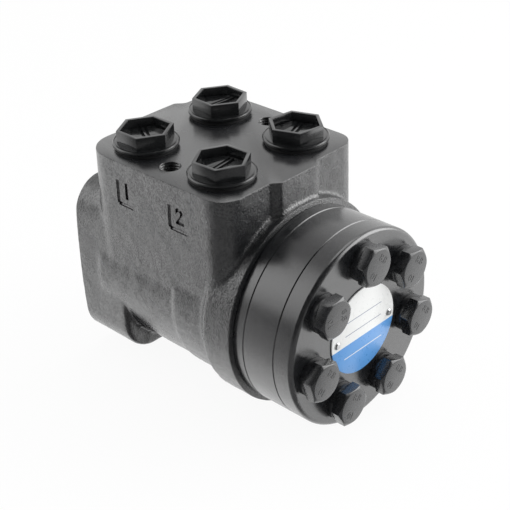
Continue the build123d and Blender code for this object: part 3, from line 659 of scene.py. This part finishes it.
# ---------------------------------------------------------------- screws
SCREW_CIRCLE = 31.6 * MM
SCREW_TURNS = (46.0, 52.0, 43.0, 43.0, 58.0, 43.0, 2.0)
SPECIAL_SCREW = 5
HEAD_ACROSS_FLATS = 16.0 * MM
HEAD_FACE_RADIUS = 7.5 * MM
CHAMFER_REACH = 20 * MM
MARK_HEIGHT = 4.4 * MM
MARK_FOOT = 2.6 * MM           # the class numbers stand this far from the head's middle
WASHER_RADIUS = 8.2 * MM
WASHER_HOLE = 4.25 * MM
WASHER_RISE = 0.5 * MM         # the thick washers stand this far above the drawn ones
UPRIGHT_TO_SHAFT = Matrix(((0, 0, 1, 0), (1, 0, 0, 0), (0, 1, 0, 0), (0, 0, 0, 1)))


def screw_place(number):
    """The y and z of a cover screw's middle."""
    angle = math.radians(90 - number * 360 / len(SCREW_TURNS))
    return SCREW_CIRCLE * math.cos(angle), SCREW_CIRCLE * math.sin(angle)


def head_matrix(number):
    """Lays an upright head along the shaft at its screw, with a corner at its turn from +Y."""
    turn = Matrix.Rotation(math.radians(SCREW_TURNS[number] - 90), 4, "X")
    return Matrix.Translation((0, *screw_place(number))) @ turn @ UPRIGHT_TO_SHAFT


def screw_head(sizes):
    """One upright hexagon head, chamfered, with its raised class numbers."""
    seat, face = SCREW_SEAT + WASHER_RISE, SCREW_TOP - sizes.head_mark
    corner = HEAD_ACROSS_FLATS / math.sqrt(3)
    bpy.ops.object.select_all(action="DESELECT")
    bpy.ops.mesh.primitive_cylinder_add(
        vertices=6, radius=corner, depth=face - seat, location=(0, 0, (face + seat) / 2))
    head = named(bpy.context.object, "screw_head")
    settle(head)
    bpy.ops.object.select_all(action="DESELECT")
    bpy.ops.mesh.primitive_cone_add(
        vertices=96, radius1=HEAD_FACE_RADIUS + CHAMFER_REACH * math.sqrt(3), radius2=HEAD_FACE_RADIUS,
        depth=CHAMFER_REACH, location=(0, 0, face - CHAMFER_REACH / 2))
    cone = named(bpy.context.object, "chamfer_cone")
    settle(cone)
    cut(head, cone, "INTERSECT")
    rounded(head, 0.2 * MM, 20)
    pieces = [head]
    for words, turn in (("8.8", 0), ("10", 180)):
        lettering(words, MARK_HEIGHT, sizes.head_mark)
        text = solid_letters()
        turned = Matrix.Rotation(math.radians(turn), 4, "Z")
        text.matrix_world = turned @ Matrix.Translation((0, MARK_FOOT, face))
        settle(text)
        pieces.append(text)
    return joined("screw_head", pieces)


def washer():
    """One plain washer round the shaft's axis, its edges tumbled round."""
    ring = rod("washer", WASHER_RADIUS, (COVER_FACE, 0, 0), (SCREW_SEAT + WASHER_RISE, 0, 0), 96)
    cut(ring, rod("washer_hole", WASHER_HOLE, (COVER_FACE - MM, 0, 0), (SCREW_SEAT + 2 * MM, 0, 0), 48))
    rounded(ring, 0.4 * MM, 40)
    return ring


class SteeringUnitScrews(bpy.types.Operator):
    """Model the cover screws' heads with raised class numbers, and their washers"""
    bl_idname = "steering_unit.screws"
    bl_label = "Cover screws"

    def execute(self, context):
        sizes, colours = sizes_of(context), colours_of(context)
        oxide = black_oxide(colours, "black_oxide_screw_steel", 0.26)
        every = range(len(SCREW_TURNS))
        head = screw_head(sizes)
        for name, numbers in (("cover_screws", [k for k in every if k != SPECIAL_SCREW]),
                              ("special_screw", [SPECIAL_SCREW])):
            shanks = copy_of(name, name + "_shanks")
            pick(shanks, lambda place: True)
            bpy.ops.mesh.bisect(plane_co=(SCREW_SEAT - 0.01 * MM, 0, 0), plane_no=(1, 0, 0),
                                use_fill=True, clear_outer=True)
            done()
            pick(shanks, lambda place: place.x > SCREW_SEAT - 0.02 * MM)
            bpy.ops.transform.translate(value=(WASHER_RISE * 2, 0, 0))
            done()
            shade(shanks, 25)
            piece = joined(name + "_heads", [shanks] + [twin(head, head_matrix(k)) for k in numbers])
            dress(piece, oxide)
            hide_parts(name)
        ring = washer()
        rings = [twin(ring, Matrix.Translation((0, *screw_place(k)))) for k in every]
        washers = joined("washer_rings", rings)
        dress(washers, black_oxide(colours, "black_oxide_washer_steel", 0.3))
        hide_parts("cover_washers")
        for pattern in (head, ring):
            bpy.data.objects.remove(pattern)
        return {"FINISHED"}


# ---------------------------------------------------------------- plugs
PLUG_TURNS = dict(zip(PLUGS, (0.0, 3.0, -3.0, 20.0)))
PLUG_SLOT_TURNS = (150.4, 98.9, 87.8, 113.4)
PLUG_CUP_ACROSS_FLATS = 18.6 * MM
FLANGE_TOP = PORT_FACE + 3.0 * MM
CUP_FLOOR = FLANGE_TOP + 1.2 * MM
CUP_TOP = PORT_FACE + 12 * MM
PAD_HEIGHT = 0.9 * MM
PAD_ROOM = 2.4 * MM            # across flats, the pads are this much smaller than the cup
PAD_EDGE = 0.15 * MM
SLOT_SIZE = (24 * MM, 3.4 * MM, 6 * MM)
RIB_SIZE = (16.0 * MM, 1.0 * MM, PAD_HEIGHT * 2.4)
LINE_OUTER = 13.6 * MM
LINE_INNER = 13.1 * MM
LINE_DEPTH = 0.25 * MM


def hexagon_rod(name, across_flats, x, y, foot, top, turn):
    """A hexagonal rod along Z with a corner at its turn from +X."""
    bpy.ops.object.select_all(action="DESELECT")
    bpy.ops.mesh.primitive_cylinder_add(
        vertices=6, radius=across_flats / math.sqrt(3), depth=top - foot, location=(x, y, (foot + top) / 2),
        rotation=(0, 0, math.radians(turn - 90)))
    piece = named(bpy.context.object, name)
    settle(piece)
    return piece


def bar(name, middle, size, turn):
    """A rectangular bar around a middle, turned about Z."""
    bpy.ops.object.select_all(action="DESELECT")
    bpy.ops.mesh.primitive_cube_add(size=1, location=middle, scale=size, rotation=(0, 0, math.radians(turn)))
    piece = named(bpy.context.object, name)
    settle(piece)
    return piece


class SteeringUnitPlugs(bpy.types.Operator):
    """Finish the moulded port plugs and their seals"""
    bl_idname = "steering_unit.plugs"
    bl_label = "Port plugs"

    def execute(self, context):
        sizes, colours = sizes_of(context), colours_of(context)
        plastic = moulded_plastic(colours)
        rubber = nitrile_rubber(colours, "plug_seal_nitrile_rubber")
        for name, slot_turn in zip(PLUGS, PLUG_SLOT_TURNS):
            piece = copy_of(name, name + "_moulded")
            x, y = port_middle(name)
            # the cup, cleared down to its floor
            turn = PLUG_TURNS[name]
            cut(piece, hexagon_rod("cup", PLUG_CUP_ACROSS_FLATS - 0.04 * MM, x, y, CUP_FLOOR, CUP_TOP, turn))
            # a fine line turned round the flange
            line = rod("line", LINE_OUTER, (x, y, FLANGE_TOP - LINE_DEPTH), (x, y, FLANGE_TOP + MM), 96)
            inside = rod("inside", LINE_INNER, (x, y, FLANGE_TOP - MM), (x, y, FLANGE_TOP + 2 * MM), 96)
            cut(line, inside)
            cut(piece, line)
            # two raised pads on the floor with a thin rib between them
            pads = hexagon_rod("pads", PLUG_CUP_ACROSS_FLATS - PAD_ROOM, x, y, CUP_FLOOR - 0.1 * MM,
                               CUP_FLOOR + PAD_HEIGHT, turn)
            cut(pads, bar("pad_slot", (x, y, CUP_FLOOR), SLOT_SIZE, slot_turn))
            rib = bar("rib", (x, y, CUP_FLOOR), RIB_SIZE, slot_turn)
            rounded(pads, PAD_EDGE)
            rounded(rib, PAD_EDGE)
            rounded(piece, sizes.plug_edge)
            piece = joined(name + "_moulded", [piece, pads, rib])
            dress(piece, plastic)
            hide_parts(name)
        for k in (1, 2, 3, 4):
            refinish(f"plug_seal_{k}", rubber)
        return {"FINISHED"}


# ---------------------------------------------------------------- label
class SteeringUnitLabel(bpy.types.Operator):
    """Finish the round label plate and its two rivets"""
    bl_idname = "steering_unit.label"
    bl_label = "Label"

    def execute(self, context):
        sizes, colours = sizes_of(context), colours_of(context)
        plate = copy_of("name_plate", "label_plate")
        rounded(plate, 0.12 * MM, 40)
        dress(plate, printed_foil(colours, sizes))
        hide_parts("name_plate")
        refinish("name_plate_rivets", ground_steel("aluminium_rivet", linear("d8d9da"), 0.3, 0.5 * MM))
        return {"FINISHED"}


# ---------------------------------------------------------------- inner pieces
INNER_FINISHES = {
    "bright": ("spool", "sleeve", "cross_pin", "drive_link", "rotor", "rotor_spacer", "check_seat",
               "stop_pin"),
    "bearing": ("bearing_outer_race", "bearing_inner_race", "bearing_needles", "bearing_cage", "check_ball"),
    "spring": ("centring_springs", "retaining_ring"),
    "rubber": ("dust_seal", "shaft_seal", "housing_o_ring", "plate_o_ring", "cover_o_ring"),
}


class SteeringUnitInnerPieces(bpy.types.Operator):
    """Finish the valve set, the bearing, the rotor and the seals"""
    bl_idname = "steering_unit.inner_pieces"
    bl_label = "Inner pieces"

    def execute(self, context):
        colours = colours_of(context)
        finishes = {
            "bright": ground_steel("ground_valve_steel", tuple(colours.steel), 0.22, 0.4 * MM),
            "bearing": ground_steel("polished_bearing_steel", linear("d0d2d5"), 0.12, 0.3 * MM),
            "spring": ground_steel("tempered_spring_steel", linear("7f8286"), 0.3, 0.6 * MM),
            "rubber": nitrile_rubber(colours, "shaft_seal_nitrile_rubber"),
        }
        for finish, names in INNER_FINISHES.items():
            for name in names:
                refinish(name, finishes[finish])
        return {"FINISHED"}


# ---------------------------------------------------------------- stage
CAMERA_AZIMUTH = math.radians(44.322)
CAMERA_ELEVATION = math.radians(30.444)
CAMERA_ROLL = math.radians(-1.805)
CAMERA_DISTANCE = 477.557 * MM
CAMERA_RIGHT = -43.725 * MM
CAMERA_UP = 29.827 * MM
CAMERA_AIM = Vector((130.5 * MM, 0, 0))
CAMERA_LENS = 82.654
LAMPS = (
    # name, place, width, height, watts
    ("key_left", (-0.55, -0.55, 0.60), 0.8, 0.8, 1.1),
    ("fill_cover", (0.60, 0.55, 0.30), 0.7, 0.7, 4.0),
    ("top", (0.00, 0.30, 0.95), 0.7, 0.7, 2.0),
)
# in reflections the studio is brighter than white at the object's sides, and dark on the
# side of the main camera; it stays there when other views move the camera
CAMERA_SIDE = Vector((math.sin(CAMERA_AZIMUTH), -math.cos(CAMERA_AZIMUTH), 0))
SIDE_WHITE = 1.6
FRONT_WHITE = 0.06
BACK_WHITE = 0.7
OVERHEAD_WHITE = 0.2
SOFT_GREY = 0.75
WHITE = linear("ffffff")
FLOOR_SIZE = 8
FLOOR_GAP = 0.1 * MM
PAPER_SEEN_WHITE = 0.93        # the rest of what the camera sees is the lit, shadowed paper
PAPER_SEEN_THROUGH = 0.75      # share of the studio's white that a mirror sees in the paper


class SteeringUnitStage(bpy.types.Operator):
    """Set the floor, the lamps, the backdrop and the camera"""
    bl_idname = "steering_unit.stage"
    bl_label = "Stage"

    def execute(self, context):
        scene = context.scene
        scene.view_settings.view_transform = "Standard"
        low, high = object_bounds()
        bpy.ops.object.select_all(action="DESELECT")
        bpy.ops.mesh.primitive_plane_add(size=FLOOR_SIZE, location=(0.05, 0, low[2] - FLOOR_GAP))
        floor = named(bpy.context.object, "studio_floor")
        settle(floor)
        floor.data.materials.append(self.paper())
        floor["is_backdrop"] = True
        self.backdrop(scene)
        middle = Vector(((low[0] + high[0]) / 2, 0, 0.01))
        for name, place, width, height, watts in LAMPS:
            lamp = bpy.data.lights.new(name, "AREA")
            lamp.shape = "RECTANGLE"
            lamp.size, lamp.size_y, lamp.energy = width, height, watts
            holder = bpy.data.objects.new(name, lamp)
            holder.location = place
            holder.rotation_euler = (Vector(place) - middle).to_track_quat("Z", "Y").to_euler()
            scene.collection.objects.link(holder)
        self.camera(scene)
        return {"FINISHED"}

    def camera(self, scene):
        """A long lens that looks down on the port face and the end cover."""
        camera = bpy.data.objects.new("camera", bpy.data.cameras.new("camera"))
        camera.data.lens = CAMERA_LENS
        camera.data.clip_start = 0.01
        back = CAMERA_SIDE * math.cos(CAMERA_ELEVATION) + Vector((0, 0, math.sin(CAMERA_ELEVATION)))
        level = Vector((math.cos(CAMERA_AZIMUTH), math.sin(CAMERA_AZIMUTH), 0))
        upright = back.cross(level)
        right = level * math.cos(CAMERA_ROLL) + upright * math.sin(CAMERA_ROLL)
        up = upright * math.cos(CAMERA_ROLL) - level * math.sin(CAMERA_ROLL)
        place = CAMERA_AIM + back * CAMERA_DISTANCE + right * CAMERA_RIGHT + up * CAMERA_UP
        turn = Matrix((right, up, back)).transposed().to_4x4()
        camera.matrix_world = Matrix.Translation(place) @ turn
        scene.collection.objects.link(camera)
        scene.camera = camera

    def paper(self):
        """Matt white studio paper; the camera sees it white, with the object's soft shadow."""
        material, tree, shader = new_finish("studio_paper")
        place = node(tree, "TexCoord", output="Object")
        fibre = node(tree, "TexNoise", None,
                     {"Vector": place, "Scale": 1 / (3 * MM), "Detail": 2.0, "Roughness": 0.5})
        normal = node(tree, "Bump", None, {"Height": fibre, "Strength": 0.05, "Distance": 0.1 * MM})
        tree.links.new(normal, shader.inputs["Normal"])
        shader.inputs["Base Color"].default_value = linear("f4f4f4")
        shader.inputs["Roughness"].default_value = 0.9
        path = node(tree, "LightPath").node.outputs
        white = node(tree, "Emission", None, {"Color": WHITE, "Strength": 1.0})
        through = node(tree, "BsdfTransparent", None, {"Color": WHITE})
        seen = node(tree, "Math", {"operation": "MULTIPLY"}, {0: path["Is Camera Ray"], 1: PAPER_SEEN_WHITE})
        mirrored = node(tree, "Math", {"operation": "MAXIMUM"},
                        {0: path["Is Glossy Ray"], 1: path["Is Transmission Ray"]})
        # a mirror sees the backdrop through the paper, with a part of the object's shadow on it
        clear = node(tree, "Math", {"operation": "MULTIPLY"}, {0: mirrored, 1: PAPER_SEEN_THROUGH})
        lit = node(tree, "MixShader", None, {0: clear, 1: shader.outputs[0], 2: through})
        shown = node(tree, "MixShader", None, {0: seen, 1: lit, 2: white})
        tree.links.new(shown, tree.nodes["Material Output"].inputs["Surface"])
        return material

    def backdrop(self, scene):
        """White around the stage for the camera, shaped for reflections, soft grey otherwise."""
        world = bpy.data.worlds.new("studio")
        world.use_nodes = True
        tree = world.node_tree
        path = node(tree, "LightPath").node.outputs
        direction = node(tree, "TexCoord", output="Generated")
        front = node(tree, "VectorMath", {"operation": "DOT_PRODUCT"},
                     {0: direction, 1: CAMERA_SIDE}, "Value")
        height = node(tree, "SeparateXYZ", None, {0: direction}, "Z")
        around = node(tree, "MapRange", None, {"Value": front, "From Min": -0.06, "From Max": 0.22,
                                               "To Min": SIDE_WHITE, "To Max": FRONT_WHITE})
        behind = node(tree, "MapRange", None, {"Value": front, "From Min": -0.90, "From Max": -0.40,
                                               "To Min": BACK_WHITE, "To Max": 1.0})
        above = node(tree, "MapRange", None, {"Value": height, "From Min": 0.45, "From Max": 0.85,
                                              "To Min": 1.0, "To Max": OVERHEAD_WHITE})
        shaped = node(tree, "Math", {"operation": "MULTIPLY"}, {0: behind, 1: above})
        studio = node(tree, "Math", {"operation": "MULTIPLY"}, {0: around, 1: shaped})
        mirrored = node(tree, "Math", {"operation": "MAXIMUM"},
                        {0: path["Is Glossy Ray"], 1: path["Is Transmission Ray"]})
        reflected = node(tree, "Math", {"operation": "MULTIPLY"}, {0: mirrored, 1: studio})
        seen = node(tree, "Math", {"operation": "MAXIMUM"}, {0: path["Is Camera Ray"], 1: reflected})
        soft = node(tree, "Math", {"operation": "MULTIPLY"}, {0: path["Is Diffuse Ray"], 1: SOFT_GREY})
        strength = node(tree, "Math", {"operation": "MAXIMUM"}, {0: seen, 1: soft})
        shader = tree.nodes["Background"]
        shader.inputs["Color"].default_value = WHITE
        tree.links.new(strength, shader.inputs["Strength"])
        scene.world = world


# ---------------------------------------------------------------- panel
STEPS = (SteeringUnitCasting, SteeringUnitGearSet, SteeringUnitScrews, SteeringUnitPlugs,
         SteeringUnitLabel, SteeringUnitInnerPieces, SteeringUnitStage)


class SteeringUnitPanel(bpy.types.Panel):
    """Lists the steps, the sizes and the colours"""
    bl_idname = "VIEW3D_PT_steering_unit"
    bl_label = "Steering unit"
    bl_space_type = "VIEW_3D"
    bl_region_type = "UI"
    bl_category = "Steering unit"

    def draw(self, context):
        for step in STEPS:
            self.layout.operator(step.bl_idname)
        for group in (sizes_of(context), colours_of(context)):
            for name in group.__annotations__:
                self.layout.prop(group, name)


CLASSES = (SteeringUnitSizes, SteeringUnitColours, SteeringUnitPanel) + STEPS


def register():
    """Register the classes and hang the settings on the scene."""
    for made in CLASSES:
        bpy.utils.register_class(made)
    bpy.types.Scene.steering_unit_sizes = bpy.props.PointerProperty(type=SteeringUnitSizes)
    bpy.types.Scene.steering_unit_colours = bpy.props.PointerProperty(type=SteeringUnitColours)


def unregister():
    """Take the settings and the classes away again."""
    del bpy.types.Scene.steering_unit_colours
    del bpy.types.Scene.steering_unit_sizes
    for made in reversed(CLASSES):
        bpy.utils.unregister_class(made)


def main():
    """Run every step in order."""
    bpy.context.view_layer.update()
    register()
    bpy.ops.steering_unit.casting()
    bpy.ops.steering_unit.gear_set()
    bpy.ops.steering_unit.screws()
    bpy.ops.steering_unit.plugs()
    bpy.ops.steering_unit.label()
    bpy.ops.steering_unit.inner_pieces()
    bpy.ops.steering_unit.stage()


if __name__ == "__main__":
    main()
